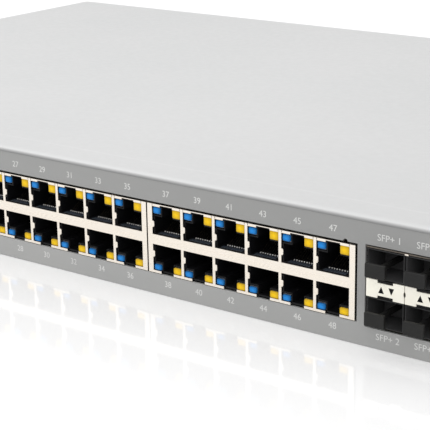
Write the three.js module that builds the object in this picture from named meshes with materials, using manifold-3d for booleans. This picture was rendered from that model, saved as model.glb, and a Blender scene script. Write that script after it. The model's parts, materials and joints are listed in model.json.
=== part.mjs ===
// A rack-mounted network switch, one rack unit high: 48 copper ports in four ganged jacks and four
// optical ports in one stacked cage, with its covers, boards, power supply, fans, ears and screws.
// Millimetres, +Z up. The front faces -Y, and +X is to the right for a person facing the front.
// The origin is the middle of the body's footprint, on its underside.

import * as THREE from "three";
import { mergeVertices } from "three/addons/utils/BufferGeometryUtils.js";
import Module from "manifold-3d";

const wasm = await Module();
wasm.setup();

// ---------------------------------------------------------------- driving dimensions

const GAP = 0.3; // air left between two pieces that would otherwise touch

// Body
const BODY_W = 442;
const BODY_D = 294;
const BODY_H = 43.7;
const COVER_T = 1.0;
const PANEL_T = 1.2;
const BASE_T = 1.2;
const LIP_H = 11;

const HALF_W = BODY_W / 2;
const FRONT = -BODY_D / 2;
const REAR = BODY_D / 2;
const COVER_IN = HALF_W - COVER_T; // inner face of the cover's side walls
const COVER_UNDER = BODY_H - COVER_T; // underside of the cover's top sheet
const PANEL_TOP = COVER_UNDER - GAP;
const FRONT_IN = FRONT + PANEL_T; // inner face of the front panel
const REAR_IN = REAR - PANEL_T;
const BASE_HALF = COVER_IN - GAP;

// Ganged copper jacks: four blocks of two rows by six ports
const BLOCKS = 4;
const BLOCK_PITCH = 87.6;
const BLOCK_FIRST = -149.0; // middle of the first block
const COLUMNS = 6;
const PORT_PITCH = 13.97;
const PORT_W = 12.85; // width of each opening in the metal shield
const SHIELD_W = 87.0;
const SHIELD_T = 0.25;
const SHIELD_FACE_T = 0.4;
const SHIELD_LOW = 8.1;
const SHIELD_HIGH = 34.0;
const SHIELD_LATCH = 2.8; // half the width of the shield's cut-out for a plug's latch
const UPPER_ROW = [22.6, 33.1]; // height of the shield's upper openings
const LOWER_ROW = [9.0, 18.9];
const CAVITY_W = 11.7;
const UPPER_CAVITY = [22.9, 29.3];
const LOWER_CAVITY = [12.3, 18.6];
const CAVITY_DEPTH = 12.5;
const LATCH_W = 4.8;
const UPPER_PIPE = [30.1, 32.8]; // height of the light pipes above and below the rows
const LOWER_PIPE = [9.0, 11.6];
const PIPE_X = [3.0, 6.1]; // reach of a light pipe from the middle of its port
const JACK_BACK = -118;

// Optical cage: two columns by two rows, with the light bar between the rows
const CAGE_X = 175.85; // middle of the cage
const CAGE_W = 29.0;
const CAGE_WALL = 0.4;
const CAGE_Z = [7.16, 34.8];
const CAGE_UPPER = [24.1, 34.4];
const CAGE_LOWER = [7.56, 17.86];
const CAGE_MIDDLE = [18.16, 23.8];
const CAGE_BACK = -98;
const BAR_Z = [17.86, 23.9];
const NECK_Z = [19.0, 22.8]; // the bar's neck, seen as dark depth through its notches
const CAGE_COLUMN = 14.25;

// Circuit boards
const BOARD_Z = [5.1, 6.7];
const BOARD_TOP = BOARD_Z[1] + GAP; // where a piece on a board begins

// Fans, at the rear
const FAN_SIZE = 40;
const FAN_T = 20;
const FAN_BORE = 19;
const FAN_Z = 21.6;
const FAN_XS = [-150, -95];

// Power inlet, at the rear
const INLET_X = 178;
const INLET_Z = 23;

// Rack ears, 19 inches across in all, with slots on the standard spacing
const RACK_HALF = 241.3;
const EAR_T = 2;
const EAR_DEPTH = 44;
const SLOT_X = 232.55;
const SLOT_Z = 15.875; // slots lie this far above and below the middle
const SLOT_W = 10;
const SLOT_H = 6.8;

// ---------------------------------------------------------------- materials

function finish(color, roughness, metalness) {
  return new THREE.MeshStandardMaterial({ color, roughness, metalness });
}

const MATERIALS = {
  cover: () => finish(0xdcdddd, 0.45, 0.3),
  panel: () => finish(0x9c9e9f, 0.5, 0.3),
  steel: () => finish(0xb9bcbf, 0.35, 0.9),
  shield: () => finish(0xf1ece4, 0.3, 0.6),
  blackPlastic: () => finish(0x101112, 0.6, 0),
  plugPlastic: () => finish(0x2d2e2f, 0.6, 0),
  lightPipe: () => finish(0xdfe8ee, 0.2, 0),
  whitePlastic: () => finish(0xf2efe4, 0.5, 0),
  board: () => finish(0x1c5a38, 0.5, 0),
  chip: () => finish(0x1b1c1e, 0.6, 0),
  aluminium: () => finish(0xa9acb0, 0.4, 0.9),
  ferrite: () => finish(0x4a4540, 0.7, 0),
  capSleeve: () => finish(0x26282e, 0.4, 0),
  wire: () => finish(0x2a2a2c, 0.6, 0),
  fan: () => finish(0x17181a, 0.55, 0),
  screw: () => finish(0x8f9296, 0.3, 0.9),
};

// ---------------------------------------------------------------- geometry helpers

function toSolid(geometry) {
  const bare = geometry.clone();
  bare.deleteAttribute("normal");
  bare.deleteAttribute("uv");
  const merged = mergeVertices(bare, 1e-4);
  return new wasm.Manifold(new wasm.Mesh({
    numProp: 3,
    vertProperties: new Float32Array(merged.attributes.position.array),
    triVerts: new Uint32Array(merged.index.array),
  }));
}

function toGeometry(solid) {
  const mesh = solid.getMesh();
  const geometry = new THREE.BufferGeometry();
  geometry.setAttribute("position", new THREE.BufferAttribute(mesh.vertProperties, 3));
  geometry.setIndex(new THREE.BufferAttribute(mesh.triVerts, 1));
  geometry.computeVertexNormals();
  return geometry;
}

function join(solids) {
  return solids.reduce((whole, solid) => whole.add(solid));
}

function cut(body, tools) {
  return tools.reduce((whole, tool) => whole.subtract(tool), body);
}

// A box given by its reach along each axis.
function block([x0, x1], [y0, y1], [z0, z1]) {
  const box = new THREE.BoxGeometry(x1 - x0, y1 - y0, z1 - z0);
  box.translate((x0 + x1) / 2, (y0 + y1) / 2, (z0 + z1) / 2);
  return toSolid(box);
}

// A round bar along Y, from y0 to y1, round the point (x, z).
function barY(x, z, radius, y0, y1, sides = 16) {
  const bar = new THREE.CylinderGeometry(radius, radius, y1 - y0, sides);
  bar.translate(x, (y0 + y1) / 2, z);
  return toSolid(bar);
}

// A round bar along X, from x0 to x1, round the point (y, z).
function barX(y, z, radius, x0, x1, sides = 10) {
  const bar = new THREE.CylinderGeometry(radius, radius, x1 - x0, sides);
  bar.rotateZ(Math.PI / 2);
  bar.translate((x0 + x1) / 2, y, z);
  return toSolid(bar);
}

// A round bar along Z, from z0 to z1, round the point (x, y).
function barZ(x, y, radius, z0, z1, sides = 8) {
  const bar = new THREE.CylinderGeometry(radius, radius, z1 - z0, sides);
  bar.rotateX(Math.PI / 2);
  bar.translate(x, y, (z0 + z1) / 2);
  return toSolid(bar);
}

// A shape drawn in X and Z, extruded along Y from y0 to y1.
function extrudeY(shape, y0, y1, curveSegments = 4) {
  const body = new THREE.ExtrudeGeometry(shape, { depth: y1 - y0, bevelEnabled: false, curveSegments });
  body.rotateX(Math.PI / 2);
  body.translate(0, y1, 0);
  return toSolid(body);
}

// A slot with round ends, lying along X.
function slotShape(x, z, width, height) {
  const r = height / 2;
  const reach = width / 2 - r;
  const shape = new THREE.Shape();
  shape.absarc(x + reach, z, r, -Math.PI / 2, Math.PI / 2, false);
  shape.absarc(x - reach, z, r, Math.PI / 2, (3 * Math.PI) / 2, false);
  shape.closePath();
  return shape;
}

function hexagon(x, z, radius) {
  const shape = new THREE.Shape();
  for (let i = 0; i < 6; i++) {
    const angle = (i * Math.PI) / 3;
    const corner = [x + radius * Math.cos(angle), z + radius * Math.sin(angle)];
    if (i === 0) shape.moveTo(...corner);
    else shape.lineTo(...corner);
  }
  shape.closePath();
  return shape;
}

const device = new THREE.Group();

function place(name, solid, material, position = [0, 0, 0], rotation = [0, 0, 0]) {
  const geometry = solid.isBufferGeometry ? solid : toGeometry(solid);
  const mesh = new THREE.Mesh(geometry, MATERIALS[material]());
  mesh.name = name;
  mesh.position.set(...position);
  mesh.rotation.set(...rotation);
  device.add(mesh);
}

// ---------------------------------------------------------------- screws

// A pan-head screw along Y: the head's underside is at 0, the head rises to +Y, the shank goes to -Y.
function screwGeometry(headR, headH, shankR, shankL) {
  const profile = [
    [0, -shankL],
    [shankR, -shankL],
    [shankR, 0],
    [headR, 0],
    [headR, headH * 0.5],
    [headR * 0.7, headH],
    [0, headH],
  ].map(([r, y]) => new THREE.Vector2(r, y));
  return toGeometry(toSolid(new THREE.LatheGeometry(profile, 9)));
}

const EAR_SCREW = { headR: 3.6, headH: 1.8, shankR: 1.7, shankL: 8 };
const COVER_SCREW = { headR: 2.8, headH: 1.2, shankR: 1.3, shankL: 5 };
const EAR_SCREW_SPOTS = [[-134, 12.85], [-134, 30.85], [-113, 12.85], [-113, 30.85]];
const COVER_SCREW_SPOTS = [[-40, 7], [112, 7]];
const REAR_SCREW_SPOTS = [[-200, 6], [20, 6], [140, 6]];
const GROUND_SCREW_SPOT = [110, 14];

// ---------------------------------------------------------------- enclosure

function basePan() {
  const lipZ = [BASE_T, LIP_H];
  const backLip = [REAR_IN - GAP - BASE_T, REAR_IN - GAP];
  const frontLip = [FRONT_IN + GAP, FRONT_IN + GAP + BASE_T];
  const depth = [FRONT_IN + GAP, REAR_IN - GAP];
  const parts = [
    block([-BASE_HALF, BASE_HALF], depth, [0, BASE_T]),
    block([BASE_HALF - BASE_T, BASE_HALF], depth, lipZ),
    block([-BASE_HALF, -BASE_HALF + BASE_T], depth, lipZ),
    block([-BASE_HALF, BASE_HALF], backLip, lipZ),
    block([-BASE_HALF, BASE_HALF], frontLip, [BASE_T, BOARD_Z[0] - GAP]),
  ];
  const standoffs = [];
  for (const x of [-205, -105, 0, 105, 205]) {
    for (const y of [-128, -4]) standoffs.push([x, y]);
  }
  for (const x of [118, 206]) {
    for (const y of [36, 128]) standoffs.push([x, y]);
  }
  for (const [x, y] of standoffs) {
    parts.push(barZ(x, y, 3, BASE_T - 0.5, BOARD_Z[0] - GAP));
  }
  const holes = COVER_SCREW_SPOTS.map(([y, z]) =>
    barX(y, z, COVER_SCREW.shankR + GAP, -HALF_W, HALF_W));
  for (const [x, z] of REAR_SCREW_SPOTS) {
    holes.push(barY(x, z, COVER_SCREW.shankR + GAP, REAR_IN - 5, REAR_IN, 10));
  }
  // The lip is cut away under the fans, which reach almost to the floor of the pan.
  for (const x of FAN_XS) {
    const reach = FAN_SIZE / 2 + GAP;
    holes.push(block([x - reach, x + reach], [REAR_IN - 5, REAR], [BASE_T, LIP_H + 1]));
  }
  return cut(join(parts), holes);
}

function topCover() {
  const wallY = [FRONT_IN + GAP, REAR];
  const wallZ = [GAP, BODY_H];
  const parts = [
    block([-HALF_W, HALF_W], [FRONT, REAR], [COVER_UNDER, BODY_H]),
    block([COVER_IN, HALF_W], wallY, wallZ),
    block([-HALF_W, -COVER_IN], wallY, wallZ),
  ];
  const holes = [];
  for (const [y, z] of EAR_SCREW_SPOTS) {
    holes.push(barX(y, z, EAR_SCREW.shankR + GAP, -HALF_W - 1, HALF_W + 1));
  }
  for (const [y, z] of COVER_SCREW_SPOTS) {
    holes.push(barX(y, z, COVER_SCREW.shankR + GAP, -HALF_W - 1, HALF_W + 1));
  }
  // Upright vent slots in two groups, the same on both walls.
  for (const start of [-86, 30]) {
    for (let i = 0; i < 9; i++) {
      const y = start + i * 7;
      holes.push(block([-HALF_W - 1, HALF_W + 1], [y, y + 3], [13, 31]));
    }
  }
  return cut(join(parts), holes);
}

const STATUS_X = -207;
const STATUS_LENS_Z = 29;
const RESET_Z = 15;
const LENS_R = 1.7;
const RESET_R = 1.3;

function frontPanel() {
  const past = [FRONT - 1, FRONT_IN + 1];
  const firstEdge = BLOCK_FIRST - SHIELD_W / 2;
  const lastEdge = BLOCK_FIRST + (BLOCKS - 1) * BLOCK_PITCH + SHIELD_W / 2;
  const jackTop = SHIELD_HIGH + 0.7;
  const cageHalf = CAGE_W / 2 + GAP;
  return cut(block([-HALF_W, HALF_W], [FRONT, FRONT_IN], [0, PANEL_TOP]), [
    block([firstEdge - 0.7, lastEdge + 0.7], past, [SHIELD_LOW - GAP, jackTop]),
    barY(lastEdge - 3.9, jackTop, 0.9, ...past, 12),
    block([CAGE_X - cageHalf, CAGE_X + cageHalf], past, [CAGE_Z[0] - GAP, CAGE_Z[1] + GAP]),
    barY(STATUS_X, STATUS_LENS_Z, LENS_R + GAP, ...past),
    barY(STATUS_X, RESET_Z, RESET_R + GAP, ...past),
  ]);
}

const INLET_BODY_W = 27.2;
const INLET_BODY_H = 19.6;

function rearPanel() {
  const past = [REAR_IN - 1, REAR + 1];
  const holes = [];
  const hexPitch = 6.6;
  for (const fanX of FAN_XS) {
    for (let row = -2; row <= 2; row++) {
      const count = 5 - Math.abs(row);
      for (let i = 0; i < count; i++) {
        const x = fanX + (i - (count - 1) / 2) * hexPitch;
        const z = FAN_Z + (row * hexPitch * Math.sqrt(3)) / 2;
        holes.push(extrudeY(hexagon(x, z, 2.9), ...past));
      }
    }
  }
  const inletW = INLET_BODY_W / 2 + GAP;
  const inletH = INLET_BODY_H / 2 + GAP;
  holes.push(block([INLET_X - inletW, INLET_X + inletW], past, [INLET_Z - inletH, INLET_Z + inletH]));
  for (const [x, z] of REAR_SCREW_SPOTS) holes.push(barY(x, z, COVER_SCREW.shankR + GAP, ...past, 10));
  holes.push(barY(...GROUND_SCREW_SPOT, EAR_SCREW.shankR + GAP, ...past, 10));
  return cut(block([-BASE_HALF, BASE_HALF], [REAR_IN, REAR], [GAP, PANEL_TOP]), holes);
}

// The right-hand ear. The left one is its mirror image.
function rackEar(side) {
  const inner = HALF_W + GAP;
  const height = [0.5, 43.2];
  const mirror = (span) => (side > 0 ? span : [-span[1], -span[0]]);
  const parts = [
    block(mirror([inner, RACK_HALF]), [FRONT, FRONT + EAR_T], height),
    block(mirror([inner, inner + EAR_T]), [FRONT, FRONT + EAR_DEPTH], height),
  ];
  const middle = BODY_H / 2;
  const holes = [-SLOT_Z, SLOT_Z].map((dz) =>
    extrudeY(slotShape(side * SLOT_X, middle + dz, SLOT_W, SLOT_H), FRONT - 1, FRONT + EAR_T + 1));
  for (const [y, z] of EAR_SCREW_SPOTS) {
    holes.push(barX(y, z, EAR_SCREW.shankR + GAP, ...mirror([inner - 1, inner + EAR_T + 1])));
  }
  return cut(join(parts), holes);
}

function addEnclosure() {
  place("base_pan", basePan(), "steel");
  place("top_cover", topCover(), "cover");
  place("front_panel", frontPanel(), "panel");
  place("rear_panel", rearPanel(), "cover");
  place("rack_ear_left", rackEar(-1), "panel");
  place("rack_ear_right", rackEar(1), "panel");
}

function addScrews() {
  const earScrew = screwGeometry(...Object.values(EAR_SCREW));
  const coverScrew = screwGeometry(...Object.values(COVER_SCREW));
  for (const [word, side] of [["left", -1], ["right", 1]]) {
    const turn = [0, 0, (-side * Math.PI) / 2];
    EAR_SCREW_SPOTS.forEach(([y, z], i) => {
      const x = side * (HALF_W + GAP + EAR_T + GAP);
      place(`ear_screw_${word}_${i + 1}`, earScrew, "screw", [x, y, z], turn);
    });
    COVER_SCREW_SPOTS.forEach(([y, z], i) => {
      place(`cover_screw_${word}_${i + 1}`, coverScrew, "screw", [side * (HALF_W + GAP), y, z], turn);
    });
  }
  REAR_SCREW_SPOTS.forEach(([x, z], i) => {
    place(`rear_screw_${i + 1}`, coverScrew, "screw", [x, REAR + GAP, z]);
  });
  const [x, z] = GROUND_SCREW_SPOT;
  place("ground_screw", earScrew, "screw", [x, REAR + GAP, z]);
}

// ---------------------------------------------------------------- ganged copper jacks

const columnX = (i) => (i - (COLUMNS - 1) / 2) * PORT_PITCH;
const COLUMN_XS = Array.from({ length: COLUMNS }, (_, i) => columnX(i));

// The folded metal skin round one block, open behind and below, with an opening for each port.
function jackShield() {
  const half = SHIELD_W / 2;
  const y = [FRONT - 0.1, JACK_BACK];
  const inner = half - SHIELD_T;
  const past = [y[0] - 1, y[0] + SHIELD_FACE_T + 0.2];
  const behind = [y[0] + SHIELD_FACE_T, y[1] + 1];
  const holes = [block([-inner, inner], behind, [SHIELD_LOW - 1, SHIELD_HIGH - SHIELD_T])];
  for (const x of COLUMN_XS) {
    const opening = [x - PORT_W / 2, x + PORT_W / 2];
    const latch = [x - SHIELD_LATCH, x + SHIELD_LATCH];
    holes.push(block(opening, past, UPPER_ROW));
    holes.push(block(opening, past, LOWER_ROW));
    holes.push(block(latch, past, [UPPER_ROW[1] - 1, SHIELD_HIGH - SHIELD_T - 0.05]));
    holes.push(block(latch, past, [SHIELD_LOW - 1, LOWER_ROW[0] + 1]));
  }
  return cut(block([-half, half], y, [SHIELD_LOW, SHIELD_HIGH]), holes);
}

// The moulded body of one block: a cavity and latch slot for each plug, and a channel for each light pipe.
function jackHousing() {
  const half = SHIELD_W / 2 - SHIELD_T - GAP;
  const front = FRONT - 0.1 + SHIELD_FACE_T + GAP;
  const top = SHIELD_HIGH - SHIELD_T - GAP;
  const body = join([
    block([-half, half], [front, JACK_BACK], [SHIELD_LOW + GAP, top]),
    block([-half, half], [FRONT_IN + GAP, JACK_BACK], [BOARD_TOP, SHIELD_LOW + 2 * GAP]),
  ]);
  const inside = [front - 1, front + CAVITY_DEPTH];
  const through = [front - 1, JACK_BACK + 1];
  const holes = [];
  for (const x of COLUMN_XS) {
    const width = [x - CAVITY_W / 2, x + CAVITY_W / 2];
    const latch = [x - LATCH_W / 2, x + LATCH_W / 2];
    holes.push(block(width, inside, UPPER_CAVITY));
    holes.push(block(width, inside, LOWER_CAVITY));
    holes.push(block(latch, inside, [UPPER_CAVITY[1] - 1, UPPER_ROW[1]]));
    holes.push(block(latch, inside, [LOWER_ROW[0], LOWER_CAVITY[0] + 1]));
    for (const side of [-1, 1]) {
      const reach = PIPE_X.map((edge, i) => side * (edge + (i ? GAP : -GAP))).sort((a, b) => a - b);
      for (const [low, high] of [UPPER_PIPE, LOWER_PIPE]) {
        holes.push(block([x + reach[0], x + reach[1]], through, [low - GAP, high + GAP]));
      }
    }
  }
  return cut(body, holes);
}

// One comb of light pipes: a window at each port's two corners, joined by a frame behind the housing.
function lightPipes() {
  const front = FRONT - 0.1 + SHIELD_FACE_T + GAP + 0.2;
  const frameY = [JACK_BACK + GAP, JACK_BACK + GAP + 2];
  const end = COLUMN_XS[COLUMNS - 1] + PIPE_X[1];
  const parts = [
    block([-end - 0.5, end + 0.5], frameY, [UPPER_PIPE[0] - 0.2, UPPER_PIPE[1] + 0.2]),
    block([-end - 0.5, end + 0.5], frameY, [LOWER_PIPE[0] - 0.2, LOWER_PIPE[1] + 0.2]),
    block([end - 2, end], frameY, [LOWER_PIPE[1] - 1, UPPER_PIPE[0] + 1]),
    block([-end, -end + 2], frameY, [LOWER_PIPE[1] - 1, UPPER_PIPE[0] + 1]),
  ];
  for (const x of COLUMN_XS) {
    for (const side of [-1, 1]) {
      const reach = PIPE_X.map((edge) => x + side * edge).sort((a, b) => a - b);
      for (const height of [UPPER_PIPE, LOWER_PIPE]) {
        parts.push(block(reach, [front, frameY[0] + 1], height));
      }
    }
  }
  return join(parts);
}

function addJacks() {
  const shield = toGeometry(jackShield());
  const housing = toGeometry(jackHousing());
  const pipes = toGeometry(lightPipes());
  for (let i = 0; i < BLOCKS; i++) {
    const spot = [BLOCK_FIRST + i * BLOCK_PITCH, 0, 0];
    place(`jack_shield_${i + 1}`, shield, "shield", spot);
    place(`jack_housing_${i + 1}`, housing, "blackPlastic", spot);
    place(`light_pipes_${i + 1}`, pipes, "lightPipe", spot);
  }
}

// ---------------------------------------------------------------- optical cage, light bar, dust plugs

const CAGE_COLUMNS = [CAGE_X - CAGE_COLUMN / 2, CAGE_X + CAGE_COLUMN / 2];
const CAVITY_HALF = 6.9; // half the width of one optical port

function sfpCage() {
  const half = CAGE_W / 2;
  const backWall = CAGE_BACK - 1;
  const holes = [];
  for (const x of CAGE_COLUMNS) {
    const width = [x - CAVITY_HALF, x + CAVITY_HALF];
    for (const height of [CAGE_UPPER, CAGE_LOWER]) holes.push(block(width, [FRONT - 1, backWall], height));
  }
  const reach = half - CAGE_WALL;
  holes.push(block([CAGE_X - reach, CAGE_X + reach], [FRONT - 1, backWall], CAGE_MIDDLE));
  // Room at the front for the light bar, which covers the edges of the two middle walls.
  holes.push(block([CAGE_X - half - 1, CAGE_X + half + 1], [FRONT - 1, FRONT + 0.8], [17.5, 24.4]));
  return cut(block([CAGE_X - half, CAGE_X + half], [FRONT, CAGE_BACK], CAGE_Z), holes);
}

function sfpLightBar() {
  const half = CAGE_W / 2 - 0.35;
  const neck = CAGE_W / 2 - CAGE_WALL - GAP;
  const body = join([
    block([CAGE_X - half, CAGE_X + half], [FRONT - 0.3, FRONT + 0.5], BAR_Z),
    block([CAGE_X - neck, CAGE_X + neck], [FRONT + 0.4, FRONT + 19], NECK_Z),
  ]);
  const holes = [];
  for (const x of CAGE_COLUMNS) {
    const notch = [x - 2.9, x + 2.9];
    holes.push(block(notch, [FRONT - 1, FRONT + 2], [BAR_Z[1] - 0.9, BAR_Z[1] + 1]));
    holes.push(block(notch, [FRONT - 1, FRONT + 2], [BAR_Z[0] - 1, BAR_Z[0] + 0.9]));
  }
  return cut(body, holes);
}

const PLUG_W = 2 * CAVITY_HALF - 2 * GAP;
const PLUG_H = CAGE_UPPER[1] - CAGE_UPPER[0] - 2 * GAP;
const PLUG_REACH = 7.2; // how far the grip stands out of the front

// One dust plug about its own middle: a cup that fills the port, with a grip plate on a stem.
function dustPlug() {
  const wall = 0.7;
  const cupDepth = 10.5;
  const [w, h] = [PLUG_W / 2, PLUG_H / 2];
  const cup = cut(block([-w, w], [-0.2, cupDepth + 1.2], [-h, h]), [
    block([-w + wall, w - wall], [-1, cupDepth], [-h + wall, h - wall]),
  ]);
  const stem = block([-1.4, 1.4], [-PLUG_REACH + 1, cupDepth + 0.5], [-1.1, 1.1]);
  const grip = block([-3.7, 3.7], [-PLUG_REACH, -PLUG_REACH + 1.5], [-2.35, 2.35]);
  return join([cup, stem, grip]);
}

function addOpticalPorts() {
  place("sfp_cage", sfpCage(), "steel");
  place("sfp_light_bar", sfpLightBar(), "whitePlastic");
  const plug = toGeometry(dustPlug());
  let number = 1;
  for (const x of CAGE_COLUMNS) {
    for (const [low, high] of [CAGE_UPPER, CAGE_LOWER]) {
      place(`dust_plug_${number}`, plug, "plugPlastic", [x, FRONT, (low + high) / 2]);
      number += 1;
    }
  }
}

// ---------------------------------------------------------------- front controls

function addFrontControls() {
  const lens = join([
    barY(STATUS_X, STATUS_LENS_Z, LENS_R, FRONT - 0.4, FRONT_IN + GAP + 0.1),
    barY(STATUS_X, STATUS_LENS_Z, LENS_R + 1, FRONT_IN + GAP, FRONT_IN + GAP + 3),
  ]);
  place("status_lens", lens, "lightPipe");
  const button = join([
    barY(STATUS_X, RESET_Z, RESET_R, FRONT + 0.4, FRONT_IN + GAP + 0.9),
    barY(STATUS_X, RESET_Z, RESET_R + 0.9, FRONT_IN + GAP, FRONT_IN + GAP + 2),
  ]);
  place("reset_button", button, "blackPlastic");
}

// ---------------------------------------------------------------- boards and what they carry

function boxOnBoard(x, y, width, depth, height) {
  const across = [x - width / 2, x + width / 2];
  return block(across, [y - depth / 2, y + depth / 2], [BOARD_TOP, BOARD_TOP + height]);
}

function heatSink(x, y, width, depth, bottom, top, fins) {
  const reach = [x - width / 2, x + width / 2];
  const plate = block(reach, [y - depth / 2, y + depth / 2], [bottom, bottom + 2.5]);
  const finT = 1.2;
  const pitch = (width - finT) / (fins - 1);
  const parts = [plate];
  for (let i = 0; i < fins; i++) {
    const left = reach[0] + i * pitch;
    parts.push(block([left, left + finT], [y - depth / 2, y + depth / 2], [bottom + 1, top]));
  }
  return join(parts);
}

// An E-core transformer: the core's frame, and the winding as a fat bobbin through it.
function transformer(x, y) {
  const core = boxOnBoard(x, y, 32, 12, 24);
  const bobbin = block([x - 13, x + 13], [y - 15, y + 15], [BOARD_TOP + 4, BOARD_TOP + 20]);
  return join([core, bobbin]);
}

// The low-voltage lead inside the case: two shells joined by one flat run of wires in an arch.
function dcHarness() {
  const start = [122, 40];
  const end = [96, -10];
  const low = BOARD_TOP + 7;
  const path = new THREE.CatmullRomCurve3([
    new THREE.Vector3(start[0], start[1], low - 1),
    new THREE.Vector3(start[0], start[1], low + 5),
    new THREE.Vector3((start[0] + end[0]) / 2, (start[1] + end[1]) / 2, low + 9),
    new THREE.Vector3(end[0], end[1], low + 5),
    new THREE.Vector3(end[0], end[1], low - 1),
  ]);
  const section = new THREE.Shape();
  section.absellipse(0, 0, 1.2, 3.2, 0, 2 * Math.PI, false, 0);
  const run = new THREE.ExtrudeGeometry(section, { steps: 14, extrudePath: path, curveSegments: 4 });
  return join([
    toSolid(run),
    boxOnBoard(...start, 14, 8, 7),
    boxOnBoard(...end, 14, 8, 7),
  ]);
}

function addBoards() {
  place("main_board", block([-214, 214], [FRONT_IN + 2 * GAP + BASE_T, 8], BOARD_Z), "board");
  place("switch_chip", boxOnBoard(0, -60, 35, 35, 2.4), "chip");
  const sinkLow = BOARD_TOP + 2.4 + GAP;
  place("switch_heat_sink", heatSink(0, -60, 46, 44, sinkLow, 32, 12), "aluminium");
  for (let i = 0; i < BLOCKS; i++) {
    const x = BLOCK_FIRST + i * BLOCK_PITCH;
    place(`phy_chip_${i + 1}`, boxOnBoard(x, -98, 24, 24, 2.2), "chip");
  }
  place("power_supply_board", block([112, 213], [30, 134], BOARD_Z), "board");
  place("power_transformer", transformer(158, 70), "ferrite");
  place("bulk_capacitor", barZ(130, 108, 9, BOARD_TOP, 36, 20), "capSleeve");
  place("dc_harness", dcHarness(), "wire");
}

// ---------------------------------------------------------------- power inlet

function powerInlet() {
  const recess = { w: 24.4, h: 16.4, depth: 17 };
  const flangeY = [REAR + GAP, REAR + GAP + 2];
  const bodyBack = 124;
  const [halfW, halfH] = [INLET_BODY_W / 2, INLET_BODY_H / 2];
  const body = join([
    block([-halfW - 2, halfW + 2], flangeY, [-halfH - 2.2, halfH + 2.2]),
    block([-halfW, halfW], [bodyBack, flangeY[0] + 1], [-halfH, halfH]),
  ]);
  const floor = flangeY[1] - recess.depth;
  const hollow = cut(body, [
    block([-recess.w / 2, recess.w / 2], [floor, flangeY[1] + 1], [-recess.h / 2, recess.h / 2]),
  ]);
  const parts = [hollow];
  for (const [x, z] of [[-7, -2], [0, 2], [7, -2]]) {
    parts.push(block([x - 1, x + 1], [floor - 1, floor + 10], [z - 2, z + 2]));
    parts.push(block([x - 0.5, x + 0.5], [bodyBack - 8, bodyBack + 1], [z - 2.4, z + 2.4]));
  }
  return join(parts);
}

// ---------------------------------------------------------------- fans

const FAN_Y = [REAR_IN - GAP - FAN_T, REAR_IN - GAP];

// A fan's square frame about its own middle, with the motor's seat on four struts at the inner face.
function fanFrame() {
  const half = FAN_SIZE / 2;
  const [y0, y1] = [-FAN_T / 2, FAN_T / 2];
  const shell = cut(block([-half, half], [y0, y1], [-half, half]), [
    barY(0, 0, FAN_BORE, y0 - 1, y1 + 1, 36),
  ]);
  const seatY = [y0, y0 + 2];
  const parts = [shell, barY(0, 0, 9, ...seatY, 20)];
  parts.push(block([-1.2, 1.2], seatY, [-half + 0.4, half - 0.4]));
  parts.push(block([-half + 0.4, half - 0.4], seatY, [-1.2, 1.2]));
  return join(parts);
}

// A fan's wheel about its own middle: a hub with seven pitched blades, turning about Y.
function fanRotor() {
  const [y0, y1] = [-FAN_T / 2 + 2 + 2 * GAP, FAN_T / 2 - 1.5];
  const blades = [];
  const count = 7;
  for (let i = 0; i < count; i++) {
    const blade = new THREE.BoxGeometry(14, 1.2, 15);
    blade.rotateX(THREE.MathUtils.degToRad(52));
    blade.translate(14, (y0 + y1) / 2, 0);
    blade.rotateY((i * 2 * Math.PI) / count);
    blades.push(toSolid(blade));
  }
  const swept = barY(0, 0, FAN_BORE - 0.8, y0, y1, 36);
  return join([barY(0, 0, 8.6, y0, y1, 20), join(blades).intersect(swept)]);
}

function addFans() {
  const frame = toGeometry(fanFrame());
  const rotor = toGeometry(fanRotor());
  const middle = (FAN_Y[0] + FAN_Y[1]) / 2;
  FAN_XS.forEach((x, i) => {
    place(`fan_frame_${i + 1}`, frame, "fan", [x, middle, FAN_Z]);
    place(`fan_rotor_${i + 1}`, rotor, "fan", [x, middle, FAN_Z]);
  });
}

// ---------------------------------------------------------------- the whole device

addEnclosure();
addScrews();
addJacks();
addOpticalPorts();
addFrontControls();
addBoards();
place("power_inlet", powerInlet(), "blackPlastic", [INLET_X, 0, INLET_Z]);
addFans();

export default device;
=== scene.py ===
# %% [markdown]
# # A rackmount network switch
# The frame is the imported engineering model: every part is already there at its real size, in metres, with
# the front of the device facing -Y. This lesson gives those parts their edges, their finishes and the small
# pieces that only the eye needs, such as the spring contacts and the printed numbers.

import json
import math

import bpy
from mathutils import Matrix, Vector

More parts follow.
